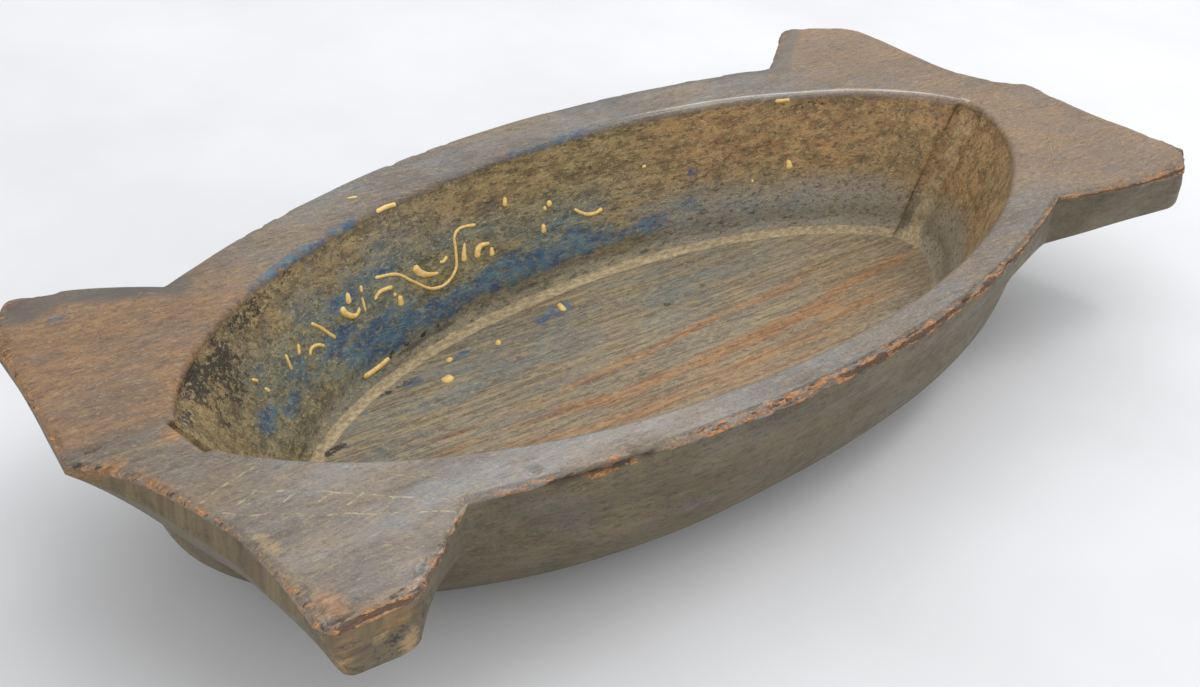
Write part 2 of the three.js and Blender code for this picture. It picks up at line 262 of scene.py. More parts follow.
def all_stations():
    """Every station's points and depths, walking round the bowl quarter by quarter."""
    made = []
    for sx, sy in ((1, 1), (1, -1), (-1, -1), (-1, 1)):
        ear = EARS[sx, sy]
        notch = ear["top"][0]
        prow = (LENGTH[sx], sy * PROW_OFFSET[sx])
        end = END_WIDTH[sx]
        a, b = HOLLOW_LENGTH[sx], HOLLOW_WIDTH[sy]
        steps = quarter_depths(ear, SIDE_WEAR[sy])
        share = steps["share"][:, 0]
        outer = {
            "outline": quarter_line(*ear["top"], ear["bow"], ear["round"], WIDTH[sy], prow),
            "under": quarter_line((notch[0], notch[1] - LIP_SLOPE), *ear["under"], ear["bow"] + UNDER_BOW,
                                  ear["round"], WIDTH[sy] - LIP_SLOPE, (prow[0] - PROW_REACH, prow[1])),
            "shoulder": oval_quarter(share, SHOULDER_LENGTH[sx], SHOULDER_WIDTH[sy], SHOULDER_OVAL),
            "foot": oval_quarter(share, FOOT_LENGTH[sx], FOOT_WIDTH[sy], FOOT_OVAL),
        }
        inner = {
            "worn": oval_quarter(share, a + INNER_WEAR, b + INNER_WEAR, HOLLOW_OVAL, end + INNER_WEAR),
            "hollow": oval_quarter(share, a, b, HOLLOW_OVAL, end),
            "floor": oval_quarter(share, FLOOR_LENGTH[sx], FLOOR_WIDTH[sy], HOLLOW_OVAL, end),
        }
        placed = {name: line * [sx, sy] for name, line in outer.items()}
        placed.update({name: line * [sx, sy] + [0, HOLLOW_OFFSET] for name, line in inner.items()})
        placed.update(steps)
        order = slice(None) if sx * sy > 0 else slice(None, None, -1)
        made.append({name: values[order][:-1] for name, values in placed.items()})
    return {name: np.concatenate([quarter[name] for quarter in made]) for name in made[0]}


def inset(outline, distance):
    """The outline moved in, its direction taken over a few points so that corners don't fold."""
    way = sum(np.roll(outline, -k, 0) - np.roll(outline, k, 0) for k in (1, 2, 3, 4))
    way /= np.hypot(way[:, 0], way[:, 1])[:, None]
    return outline + np.stack([way[:, 1], -way[:, 0]], -1) * distance


# Where the rows of points lie in each zone, as shares of the way across it or as angles of its turn.
FLOOR_ROWS = [*np.linspace(0.03, 0.93, 17), 0.95, 0.965, 0.98, 0.992]
WALL_ROWS = [0.004, 0.015, 0.03, 0.05, 0.075, 0.1, 0.13, 0.17, *np.linspace(0.22, 1, 19)]
INNER_ANGLES = np.radians([22, 45, 68])
TOP_ROWS = np.linspace(0.04, 0.96, 26)
OUTER_ANGLES = np.radians([0, 18, 36, 54, 72, 90])
FACE_ROWS = np.linspace(0.15, 1, 6)
CUT_ROWS = np.linspace(0.15, 1, 7)
TURN_ROWS = (0.33, 0.67, 1.0)
UNDER_ROWS = np.linspace(0.12, 1, 9)
HULL_ANGLES = np.radians(np.linspace(4, 83, 19))
FOOT_ROWS = (1.0, 0.8, 0.5, 0.2)


def bowl_grid():
    """Rows of points from the middle of the floor, over the rim, to the middle of the foot."""
    s = all_stations()
    depth, drop, wear = s["depth"], s["drop"], s["wear"]
    rows, zones = [], []

    def row(xy, z, zone):
        rows.append(np.hstack([xy, np.broadcast_to(z, (len(xy), 1))]))
        zones.append(zone)

    for share in FLOOR_ROWS:
        xy = lerp(np.array([0, HOLLOW_OFFSET]), s["floor"], share)
        row(xy, FLOOR_Z - FLOOR_DISH * (1 - share ** 2), FLOOR)
    run = np.linalg.norm(s["hollow"] - s["floor"], axis=-1, keepdims=True)
    for t in WALL_ROWS:
        ease = (WALL_FOOT / run) * math.sin(math.pi * min(1, t / WALL_FOOT_HEIGHT))
        row(lerp(s["floor"], s["hollow"], t + ease), FLOOR_Z + t * (HEIGHT - FLOOR_Z - INNER_WEAR), WALL)
    for angle in INNER_ANGLES:
        xy = lerp(s["hollow"], s["worn"], 1 - math.cos(angle))
        row(xy, HEIGHT - INNER_WEAR * (1 - math.sin(angle)), INNER_EDGE)
    row(s["worn"], HEIGHT, INNER_EDGE)
    top_edge = inset(s["outline"], wear)
    for t in TOP_ROWS:
        row(lerp(s["worn"], top_edge, t), HEIGHT, TOP)
    for angle in OUTER_ANGLES:
        row(lerp(top_edge, s["outline"], math.sin(angle)), HEIGHT - wear * (1 - math.cos(angle)), OUTER_EDGE)
    face_foot = lerp(s["outline"], s["under"], s["lean"])
    for t in FACE_ROWS:
        row(lerp(s["outline"], face_foot, t), HEIGHT - lerp(wear, drop, t), FACE)
    turn_top = lerp(face_foot, s["under"], (depth - TURN - drop) / (depth - drop))
    for t in CUT_ROWS:
        row(lerp(face_foot, turn_top, t), HEIGHT - lerp(drop, depth - TURN, t), CUT)
    flat_edge = toward(s["under"], s["shoulder"], TURN / 2)
    for t in TURN_ROWS:
        xy = lerp(lerp(turn_top, s["under"], t), lerp(s["under"], flat_edge, t), t)
        row(xy, HEIGHT - depth + TURN * (1 - t) ** 2, UNDERSIDE)
    for t in UNDER_ROWS:
        row(lerp(flat_edge, s["shoulder"], t), HEIGHT - lerp(depth, SHOULDER_DEPTH, t), UNDERSIDE)
    for angle in HULL_ANGLES:
        inward, down = 1 - math.cos(angle) ** (2 / BILGE), math.sin(angle) ** (2 / BILGE)
        row(lerp(s["shoulder"], s["foot"], inward), (HEIGHT - SHOULDER_DEPTH) * (1 - down), HULL)
    for share in FOOT_ROWS:
        row(s["foot"] * share, 0.0, FOOT)
    grid = np.array(rows)
    lo, hi = grid.reshape(-1, 3).min(0), grid.reshape(-1, 3).max(0)
    grid[..., :2] -= (lo[:2] + hi[:2]) / 2
    return grid, np.array(zones)


def grid_normals(grid):
    """Outward normals of the grid, with the first row facing up."""
    around = np.roll(grid, -1, 1) - np.roll(grid, 1, 1)
    across = np.gradient(grid, axis=0)
    normal = np.cross(around, across)
    normal /= np.linalg.norm(normal, axis=-1, keepdims=True) + 1e-12
    return -normal if normal[2, 0, 2] < 0 else normal


def blob(points, centre, radii):
    """1 at the centre of a soft ellipsoid, falling to 0."""
    return np.exp(-(((points - centre) / np.asarray(radii, float)) ** 2).sum(-1))


def line_distance(points, line):
    """Distance in plan to a polyline."""
    best = np.full(len(points), 1e9)
    for (ax, ay), (bx, by) in zip(line[:-1], line[1:]):
        d = np.array([bx - ax, by - ay], float)
        t = np.clip(((points[:, :2] - [ax, ay]) @ d) / (d @ d), 0, 1)
        best = np.minimum(best, np.hypot(*(points[:, :2] - [ax, ay] - t[:, None] * d).T))
    return best


LEFT_CREASE = [(-301, 8.4), (-291, 10.3), (-277, 11.9), (-264, 11.6), (-257, 10.9)]
RIGHT_CREASE = [(254, -7), (271, -1), (288, 4)]
# Creases from the ends of the hollow to the prows and gouges on the floor: line, depth and width.
CREASES = ((LEFT_CREASE, 0.9, 1.6), (RIGHT_CREASE, 0.8, 1.8))
LONG_GOUGE = [(28, 30), (78, 34), (126, 34)]
GOUGES = ((LONG_GOUGE, 0.8, 1.3), ([(-59, -1), (-35, -13), (30, -15)], 0.6, 2.0))
# Chips out of the edges: centre, radii and depth.
CHIPS = (
    ((-153, -114.5, 84), (17, 6, 5), 4.2), ((-137, -119, 84), (9, 5, 4), 2.6),
    ((-171, -110, 84), (8, 4, 4), 2.2), ((65, -126, 84), (6, 4, 4), 2.4), ((110, -119.5, 84), (5, 4, 4), 2.2),
    ((-178, -99.7, 85), (2.2, 2.2, 3), 1.3), ((-283, -117, 84), (6, 5, 5), 1.6),
    ((300, -102, 83), (6, 5, 5), 1.5), ((-262, 108, 84), (7, 6, 4), 1.2),
)
# The right corner of the hollow and its strip and groove; the crevice over the wall's foot; the ledge.
CORNER_X, STRIP_Y, GROOVE_Y = 195, -4.2, 4.0
CREVICE_Z, LEDGE_Z = 21.5, 79


def is_top(zone):
    return (zone >= INNER_EDGE) & (zone <= OUTER_EDGE)


def is_outer(zone):
    return (zone == OUTER_EDGE) | (zone == FACE)


def tool_marks(p, zone):
    """Broad marks of the adze, and an outline that isn't quite fair."""
    marks = 0.0
    for at, depth, size, seed, octaves in (
        ((zone >= FACE) & (zone < FOOT), 0.65, (60, 30, 20), 3, 2),
        (zone == WALL, 0.55, (40, 30, 18), 5, 2),
        (zone == FLOOR, 0.3, (80, 9, 20), 7, 2),
        (is_top(zone), 0.4, (36, 22, 30), 9, 3),
        (is_outer(zone), 0.5, (34, 34, 400), 11, 2),
    ):
        marks = marks + np.where(at, depth * (1 + noise(p, size, seed, octaves)), 0)
    return marks


def worn_outline(p, zone):
    """Dents all round the outer edge and splinters along the front."""
    dents = 2.4 * np.clip(noise(p, (9, 9, 5), 17, 3) - 0.1, 0, 1)
    fray = 1.5 * np.clip(noise(p, (8, 5, 2.6), 13, 3) + 0.2, 0, 1)
    front = smooth(-70, -95, p[:, 1]) * smooth(HEIGHT - 9, HEIGHT - 4, p[:, 2])
    return is_outer(zone) * (dents + fray * front)


def chips(p):
    """Broken bits of the edges, ragged along the grain."""
    rough = 1 + 0.6 * noise(p, (6, 2.5, 2.5), 19, 2)
    return sum(depth * blob(p, centre, radii) for centre, radii, depth in CHIPS) * rough


def creases(p, zone):
    """The creases at both ends, with an open crack in the left one."""
    wander = 0.8 * noise(p, 9, 23)
    crack = 3.0 * blob(p, (-290.9, 10.2, HEIGHT), (3.6, 1.1, 6))
    lines = sum(depth * bell(line_distance(p, line) + wander, width) for line, depth, width in CREASES)
    return is_top(zone) * (crack + lines)


def wall_marks(p, zone):
    """A rough strip and a groove in the right corner, a crevice over the wall's foot, a ledge at the left."""
    x, y, z = p.T
    off_strip = np.abs(y - STRIP_Y) + 3.0 * noise(p, (9, 9, 12), 27, 2)
    strip = 0.6 * smooth(9.5, 3.5, off_strip) * (1 + 0.9 * noise(p, (5, 5, 8), 29, 3))
    groove = 1.6 * bell(y - GROOVE_Y + 1.5 * noise(p, (9, 9, 14), 33), 1.6)
    crevice = 0.8 * bell(z - CREVICE_Z, 1.6) * np.clip(0.5 + noise(p, (26, 26, 200), 31, 2), 0, 1)
    ledge = 1.6 * bell(z - LEDGE_Z, 2.2) * smooth(-215, -245, x)
    return (zone == WALL) * ((x > CORNER_X) * (strip + groove) + crevice + ledge)


def gouges(p, zone):
    """Long shallow gouges on the floor."""
    lines = sum(depth * bell(line_distance(p, line), width) for line, depth, width in GOUGES)
    return (zone == FLOOR) * lines


def carve(grid, zones):
    """Tool marks, wear, chips and cracks, all of them cut into the wood; gives the depth of the cuts too."""
    p = grid.reshape(-1, 3)
    zone = np.repeat(zones, grid.shape[1])
    cut = tool_marks(p, zone) + worn_outline(p, zone) + chips(p)
    cut += creases(p, zone) + wall_marks(p, zone) + gouges(p, zone)
    cut[zone == FOOT] = 0
    normals = grid_normals(grid).reshape(-1, 3)
    return (p - normals * cut[:, None]).reshape(grid.shape), cut


plain, zones = bowl_grid()
carved, cut = carve(plain, zones)
low_corner, high_corner = (np.array(corner) * 1000 for corner in start_box)
grid = np.clip(carved, low_corner + BOX_GAP, high_corner - BOX_GAP)
grid[zones == FOOT, :, 2] = 0
rows, columns = grid.shape[:2]


def new_object(name, points, faces):
    """A smooth object from points in millimetres."""
    mesh = bpy.data.meshes.new(name)
    mesh.from_pydata((np.asarray(points) / 1000.0).tolist(), [], faces)
    mesh.validate()
    mesh.shade_smooth()
    mesh.update()
    made = bpy.data.objects.new(name, mesh)
    bpy.context.scene.collection.objects.link(made)
    return made


def bowl_object():
    """The grid's quads, closed in the middle of the floor and of the foot."""
    middles = [grid[0].mean(0), [0, 0, 0]]
    number = np.arange(rows * columns).reshape(rows, columns)
    after = np.roll(number, -1, 1)
    quads = np.stack([number[:-1], after[:-1], after[1:], number[1:]], -1)
    faces = quads.reshape(-1, 4).tolist()
    first, last, base = rows * columns, rows * columns + 1, (rows - 1) * columns
    ring = [(a, (a + 1) % columns) for a in range(columns)]
    faces += [[first, b, a] for a, b in ring]
    faces += [[last, base + a, base + b] for a, b in ring]
    return new_object("bowl_surface", np.concatenate([grid.reshape(-1, 3), middles]), faces)


bowl = bowl_object()


def add_attribute(obj, name, values):
    """A value from 0 to 1 at every vertex; the two middles take their neighbour's."""
    data = obj.data.attributes.new(name, "FLOAT", "POINT")
    values = np.append(values, [values[0], values[-1]]).astype(np.float32)
    data.data.foreach_set("value", np.clip(values, 0, 1))


# Where each finish lies, as soft masks on the surface; places are in millimetres from the bowl's middle.
place = plain.reshape(-1, 3)
x, y, z = place.T
zone = np.repeat(zones, columns)
floor_zone, wall_zone, top_zone = zone == FLOOR, zone == WALL, is_top(zone)
outside = zone >= FACE


def strongest(*masks):
    return functools.reduce(np.maximum, masks)


def several(spots):
    """Soft spots, each with its middle, its radii and its strength."""
    return strongest(*(strength * blob(place, middle, radii) for middle, radii, strength in spots))


def lanes(lines):
    """Streaks along lines on the floor: points, half-width and strength."""
    return strongest(*(strength * bell(line_distance(place, line), width) for line, width, strength in lines))


def band(value, start, full_from, full_to, end):
    """1 in a stretch with soft ends."""
    return smooth(start, full_from, value) * smooth(end, full_to, value)


def blue_paint():
    """A band low on the back wall, spots above it, along the rim's inner edge and on the floor."""
    wall = several([
        ((-105, 70, 33), (36, 30, 11), 0.9), ((-60, 76, 30), (42, 30, 9), 0.95),
        ((-10, 80, 32), (42, 30, 10), 1.0), ((35, 79, 33), (36, 30, 9), 0.9),
        ((72, 75, 31), (30, 30, 7), 0.75), ((110, 68, 36), (26, 30, 5), 0.5),
        ((-133, 66, 42), (20, 25, 11), 0.75), ((-128, 74, 58), (22, 25, 8), 0.7),
        ((-95, 80, 58), (26, 25, 7), 0.5), ((-60, 88, 62), (24, 25, 5), 0.4),
        ((-26, 92, 66), (12, 20, 5), 0.5), ((-155, 68, 66), (16, 22, 6), 0.45),
        ((-196, 36, 42), (15, 12, 7), 0.95), ((-176, 47, 38), (16, 14, 6), 0.8),
        ((-163, 56, 44), (14, 14, 8), 0.6), ((-190, 44, 58), (12, 14, 6), 0.45),
        ((60, 84, 60), (14, 20, 5), 0.35), ((112, 74, 52), (24, 20, 3.5), 0.5),
        ((100, 70, 47), (14, 20, 3), 0.4), ((-205, 30, 25), (12, 12, 5), 0.4),
    ])
    rim = bell(z - HEIGHT + 1, 3.5) * (wall_zone | (zone == INNER_EDGE)) * (y > 0) * strongest(
        0.7 * band(x, -190, -170, -110, -90), 0.62 * band(x, -20, 10, 40, 70))
    floor = strongest(lanes([
        ([(-104, 55), (-84, 58.5), (-62, 59.5)], 1.8, 0.85), ([(-60, 60), (-40, 61), (-20, 62)], 2.6, 0.6),
        ([(-15, 60), (8, 61)], 4.0, 0.9), ([(-112, 50), (-95, 53)], 2.0, 0.6),
    ]), several([((40, 50, 14), (20, 4, 9), 0.4), ((-120, 22, 14), (6, 2, 9), 0.4)]))
    top = several([((-253, 94.7, 85), (7, 3.5, 9), 0.75), ((-236, 77.3, 85), (6, 3, 9), 0.45)])
    return strongest(wall * wall_zone, rim, floor * floor_zone, top * top_zone)


def ashy_wood():
    """Along the foot of the wall, most of it toward the right end."""
    right = band(x, 40, 110, 205, 232) * smooth(50, 34, z)
    left = 0.5 * smooth(-190, -150, x) * smooth(30, 22, z)
    return wall_zone * strongest(right, left)


def grey_haze():
    """Thin grey-blue paint over the wall's left half, along the rim's inner edge and on the floor."""
    wall = several([
        ((-110, 76, 62), (50, 40, 18), 0.8), ((-150, 62, 48), (40, 40, 24), 0.7),
        ((-50, 84, 52), (45, 30, 14), 0.6), ((10, 86, 40), (80, 30, 15), 0.8),
        ((90, 72, 34), (60, 30, 12), 0.6), ((-110, 68, 34), (60, 30, 14), 0.85),
        ((150, 58, 28), (45, 30, 9), 0.6), ((-190, 46, 50), (22, 22, 20), 0.5),
    ])
    floor = several([
        ((-70, 42, 14), (90, 18, 30), 0.7), ((60, 40, 14), (90, 20, 30), 0.6),
        ((-130, 18, 14), (40, 20, 30), 0.7), ((-60, 20, 14), (70, 10, 30), 0.4),
    ])
    top = several([
        ((-70, 112, 85), (110, 18, 20), 0.8), ((60, 108, 85), (90, 18, 20), 0.7),
        ((-60, -120, 85), (150, 24, 20), 0.6), ((150, 80, 85), (60, 30, 20), 0.5),
        ((-190, -90, 85), (60, 30, 20), 0.8), ((-240, -40, 85), (40, 30, 20), 0.55),
    ])
    return strongest(wall * wall_zone, floor * floor_zone, top * top_zone)


def black_crust():
    """Toward the left end of the hollow, in a dashed line low on the wall, on the near ear and the floor."""
    wall = several([
        ((-232, 36, 76), (16, 14, 15), 1.0), ((-213, 46, 70), (20, 16, 15), 0.9),
        ((-188, 62, 77), (22, 16, 7), 0.75), ((-222, 28, 58), (8, 10, 9), 0.65),
        ((-160, 73, 80), (26, 18, 4), 0.55), ((-206, 40, 60), (12, 12, 8), 0.6),
        ((-244, 14, 78), (8, 10, 8), 0.8), ((-70, 89, 80), (60, 14, 3.5), 0.35),
        ((180, 52, 79), (60, 30, 3.5), 0.5), ((-216, 28, 44), (4, 6, 5), 0.55),
    ])
    dashes = several([((at, 68, 22.5), (3.2, 12, 1.1), 1) for at in (-101, -89, -78, -66, -58, -45)])
    ear = several([
        ((-263, -122, 66), (9, 6, 7), 0.6), ((-274, -121, 58), (8, 6, 5), 0.5),
        ((-247, -121, 72), (5, 5, 10), 0.55), ((-281, -120, 74), (6, 6, 3), 0.5),
        ((-225, -110, 72), (6, 6, 9), 0.4),
    ])
    floor = lanes([
        ([(-166, 34), (-160, 35), (-155, 36)], 2.4, 0.9), ([(-145, 37), (-136, 39)], 1.6, 0.75),
        ([(-118, 55), (-96, 57)], 1.6, 0.7), (LONG_GOUGE, 1.6, 0.5),
    ])
    return strongest(strongest(wall, dashes) * wall_zone, ear * outside, floor * floor_zone)


def pale_wood():
    """A fillet where the wall meets the floor, and the rough strip in the right corner."""
    floor = plain[zones == FLOOR]
    to_wall = np.full((rows, columns), 100.0)
    to_wall[zones == FLOOR] = np.linalg.norm(floor - floor[-1], axis=-1)
    fillet = wall_zone * smooth(16.8, 16.0, z) + floor_zone * smooth(1.4, 0.5, to_wall.reshape(-1))
    off_strip = np.abs(y + 3.5) + 4.0 * noise(place, (8, 8, 11), 37, 3)
    strip = smooth(10.0, 3.0, off_strip) * (x > CORNER_X) * wall_zone
    return strongest(fillet * np.where(y > -12, 1.0, 0.35), strip * lerp(0.6, 0.38, smooth(18, 34, z)))


def bare_wood():
    """Orange streaks on the floor and worn patches on the ends, the ears and the wall."""
    floor = lanes([
        ([(-138, 4), (-103, 2), (-59, -4), (-20, -14)], 3.2, 0.6),
        ([(-59, -1), (-35, -12), (30, -16)], 5.5, 0.95), ([(20, -16), (79, -17), (119, -20)], 6.5, 1.0),
        ([(-120, 14), (-99, 10), (-77, 8.8), (-50, 8)], 1.8, 0.65),
        ([(-50, 8), (-5, 6), (61, 9), (121, 2)], 3.0, 0.75), ([(91, 4.5), (135, 8), (178, 3)], 3.0, 0.7),
        ([(125, -15), (152, -13), (190, -12)], 6.0, 0.75),
        ([(-100, -12), (-40, -26), (60, -32), (140, -30)], 6.0, 0.7),
        ([(-60, -30), (20, -44), (110, -46)], 5.0, 0.5), ([(-90, -40), (0, -60), (90, -62)], 6.0, 0.4),
        ([(-80, -20), (0, -34), (90, -38), (170, -26)], 14.0, 0.42),
    ])
    top = several([
        ((-262, 0, 85), (9, 4, 9), 0.9), ((-250, 7, 85), (6, 4, 9), 0.7), ((-292, -4, 85), (9, 4, 9), 0.9),
        ((-285, -20, 85), (5, 10, 9), 0.75), ((-279, -112, 85), (6, 10, 9), 0.8),
        ((-268, -122, 85), (9, 4, 9), 0.75), ((-244, 23, 85), (4, 14, 9), 0.7),
        ((-230, 42, 85), (4, 12, 9), 0.4), ((-204, 58, 85), (7, 9, 9), 0.4),
        ((-191, 66, 85), (8, 6, 9), 0.45), ((-255, 20, 85), (20, 14, 9), 0.3),
        ((273, -52, 85), (10, 8, 9), 0.45), ((262, -10, 85), (12, 10, 9), 0.35),
        ((230, 96, 85), (20, 10, 9), 0.35), ((300, -104, 84), (8, 6, 9), 0.5),
    ])
    sides = several([
        ((-281, -119, 70), (8, 8, 18), 0.6), ((-300, 2, 82), (8, 12, 6), 0.7),
        ((-262, -121, 76), (12, 5, 5), 0.6), ((-215, -108, 70), (5, 5, 14), 0.5),
        ((220, -106, 62), (16, 8, 6), 0.4),
    ])
    wall = 0.5 * several([
        ((150, 62, 62), (30, 20, 7), 0.8), ((190, 46, 60), (14, 14, 8), 0.9),
        ((-60, 84, 66), (20, 14, 6), 0.5),
    ])
    return strongest(floor * floor_zone, top * top_zone, sides * outside, wall * wall_zone)


def tan_wood():
    """Light chips and rubbed spots on the rim, on the near ear and at the left end of the wall."""
    top = several([
        ((-276, -74, 85), (5, 12, 9), 0.6), ((-281, -99, 85), (4, 8, 9), 0.45),
        ((-240, -80, 85), (14, 10, 9), 0.3),
        ((-116, 88, 84), (4, 2, 9), 0.8), ((-156, 76, 84), (4, 2, 9), 0.7),
        ((-130, 85.5, 84), (3, 2, 9), 0.6), ((-196, 66, 85), (7, 2.5, 9), 0.5),
        ((60, -118, 85), (40, 8, 9), 0.2),
    ])
    ear = several([
        ((-255, -123, 62), (7, 6, 9), 0.75), ((-268, -121, 71), (5, 5, 4), 0.6),
        ((-281, -119, 66), (4, 6, 7), 0.5),
    ])
    wall = several([((-216, 46, 62), (12, 14, 10), 0.6), ((-205, 42, 50), (10, 12, 6), 0.5)])
    return strongest(top * top_zone, ear * outside, wall * wall_zone)


def warm_wood():
    """Ochre on the left back ear, the right end and the far part of the wall and of the floor."""
    top = strongest(smooth(6, 18, y) * smooth(-150, -215, x), 0.6 * smooth(150, 230, x))
    wall = strongest(smooth(0, 120, x) * smooth(22, 42, z), smooth(54, 68, z) * 0.5,
                     0.9 * blob(place, (-228, 8, 44), (24, 22, 20)))
    return strongest(top * top_zone, wall * wall_zone, 0.45 * smooth(60, -40, y) * floor_zone)


def broken_edge():
    """Edges that hands have worn and broken, most of all along the front and on the near ear."""
    front = smooth(-70, -95, y) * band(x, -215, -200, 195, 215)
    tips = np.where(np.abs(x) > 215, 0.5, 0)
    rim = (zone == OUTER_EDGE) * strongest(0.25 + 0.3 * front, tips)
    line = bell(z - HEIGHT + 2.4, 1.5) * smooth(-95, -105, y) * strongest(smooth(-60, -20, x), 0.6)
    worn = several([((-152, -114, 82), (22, 7, 5), 1.0), ((-300, 4, 84), (6, 20, 4), 0.6)])
    near_ear = band(x, -292, -280, -212, -200) * smooth(-96, -100, y) * bell(z - HEIGHT + 3.5, 3.0)
    return strongest(rim, line, worn, 0.85 * near_ear)


def dark_bevel():
    """Behind the left back ear and along the back of the rim."""
    left = smooth(13, 6, line_distance(place, [(-203, 92), (-221, 101), (-245, 114), (-262, 108)]))
    right = smooth(9, 3, line_distance(place, [(60, 121), (120, 117), (200, 94), (250, 126)]))
    return top_zone * strongest(left, 0.7 * right)


def glossy_wear():
    """Polished wood on the near ear, the front rim and the inner edge at the back."""
    ear = 0.32 * smooth(-190, -215, x) * smooth(-20, -60, y)
    rim = lerp(0.55, 0.04, smooth(-180, -10, x)) * smooth(-60, -90, y)
    inner_edge = (zone == INNER_EDGE) * smooth(60, 120, x) * (y > 0)
    return strongest(top_zone * strongest(ear, rim), inner_edge)


def painted_cut_shade():
    """Painted shade in the deep cuts, darker the deeper they are, and in the crevice above the foot of the
    wall.
    """
    patches = smooth(-0.2, 0.5, noise(place, (12, 12, 200), 41, 2))
    crevice = wall_zone * bell(z - CREVICE_Z + 0.7, 1.3) * patches * lerp(0.9, 0.5, smooth(20, 90, x))
    return strongest(np.clip((cut - 1.5) / 2.6, 0, 1), crevice)


# Painted light: the near end's undercut and underside are painted lighter grey-tan, as if lit from below by
# the pale floor.
painted_undercut_light = ((zone == CUT) | (zone == UNDERSIDE)) * smooth(-240, -256, x) * smooth(-100, -88, y)
FINISHES = {
    "floor_zone": floor_zone, "wall_zone": wall_zone, "top_zone": top_zone,
    "face_zone": (zone == FACE) * smooth(-230, -255, x), "painted_undercut_light": painted_undercut_light,
    "blue": blue_paint(), "ash": ashy_wood(), "haze": grey_haze(), "black": black_crust(),
    "pale": pale_wood(), "rust": bare_wood(), "tan": tan_wood(), "warm": warm_wood(),
    "edge": broken_edge(), "bevel": dark_bevel(), "gloss": glossy_wear(), "painted_cut_shade": painted_cut_shade(),
}
for name, values in FINISHES.items():
    add_attribute(bowl, name, values)


# Materials. Their colours are written as they show, from 0 to 255.
def linear(colour):
    shares = [v / 255.0 for v in colour]
    return (*(v / 12.92 if v <= 0.04045 else ((v + 0.055) / 1.055) ** 2.4 for v in shares), 1.0)


class Shader:
    """Adds nodes to a material and links them."""

    def __init__(self, name, turn=0.0):
        self.material = bpy.data.materials.new(name)
        self.material.use_nodes = True
        self.tree = self.material.node_tree
        self.place = self.node("TexCoord").outputs["Object"]
        turned = self.node("Mapping", {"Vector": self.place, "Rotation": (0, 0, math.radians(turn))})
        self.coordinates = turned.outputs[0]

    def put(self, socket, value):
        """Links a socket, or a mask of the surface by its name, or sets a value."""
        if isinstance(value, str):
            value = self.node("Attribute", attribute_name=value).outputs["Fac"]
        if isinstance(value, bpy.types.NodeSocket):
            self.tree.links.new(value, socket)
        else:
            socket.default_value = linear(value) if socket.type == "RGBA" else value

    def node(self, kind, inputs=None, **settings):
        made = self.tree.nodes.new("ShaderNode" + kind)
        for name, value in settings.items():
            setattr(made, name, value)
        for socket, value in (inputs or {}).items():
            self.put(made.inputs[socket], value)
        return made

    def math(self, operation, a, b, clamp=False):
        return self.node("Math", {0: a, 1: b}, operation=operation, use_clamp=clamp).outputs[0]

    def vector(self, operation, a, b=(0, 0, 0), scale=1.0):
        node = self.node("VectorMath", {0: a, 1: b, 3: scale}, operation=operation)
        return node.outputs["Value" if operation in ("DOT_PRODUCT", "LENGTH") else "Vector"]

    def noise(self, size, detail, rough, stretch=(1, 1, 1), shift=0.0, distortion=0.0):
        """Noise of that size in metres; stretch lengthens it along an axis."""
        mapping = self.node("Mapping", {
            "Vector": self.coordinates, "Scale": [1 / s for s in stretch],
            "Location": (shift, shift * 0.7, shift * 1.3),
        })
        return self.node("TexNoise", {
            "Vector": mapping.outputs[0], "Scale": 1 / size, "Detail": detail, "Roughness": rough,
            "Distortion": distortion,
        }).outputs["Fac"]

    def ramp(self, value, lo, hi, low=0.0, high=1.0):
        return self.node("MapRange", {
            "Value": value, "From Min": lo, "From Max": hi, "To Min": low, "To Max": high,
        }, interpolation_type="SMOOTHSTEP", clamp=True).outputs[0]

    def mix(self, share, a, b):
        return self.node("Mix", {0: share, 6: a, 7: b}, data_type="RGBA").outputs[2]

    def over(self, colour, mask, amount, layer):
        """Lays a colour over another one, as thick as mask times amount."""
        return self.mix(self.math("MULTIPLY", mask, amount, clamp=True), colour, layer)

    def patch(self, mask, pattern, lo, hi, spread):
        """A soft mask broken up by a pattern into patches with crisp edges."""
        pushed = self.math("ADD", mask, self.math("MULTIPLY", self.math("SUBTRACT", pattern, 0.5), spread))
        return self.math("MULTIPLY", self.ramp(pushed, lo, hi), self.ramp(mask, 0.02, 0.12))

    def lines(self, place, segments, width):
        """1 along thin straight lines in plan, given by their ends in millimetres."""
        total = 0.0
        for ax, ay, bx, by in segments:
            way = Vector((bx - ax, by - ay, 0)) / 1000
            reach = self.vector("SUBTRACT", place, Vector((ax, ay, 0)) / 1000)
            share = self.vector("DOT_PRODUCT", reach, way / way.length_squared)
            share = self.math("ADD", share, 0, clamp=True)
            apart = self.vector("SUBTRACT", reach, self.vector("SCALE", way, scale=share))
            total = self.math("MAXIMUM", self.ramp(self.vector("LENGTH", apart), width, width * 0.25), total)
        return total

    def bump(self, height, distance, strength, normal=None):
        inputs = {"Height": height, "Distance": distance, "Strength": strength}
        if normal is not None:
            inputs["Normal"] = normal
        return self.node("Bump", inputs).outputs[0]

    def finished(self, settings):
        """Links or sets the sockets of the surface and gives the material."""
        for socket, value in settings.items():
            self.put(self.tree.nodes["Principled BSDF"].inputs[socket], value)
        return self.material


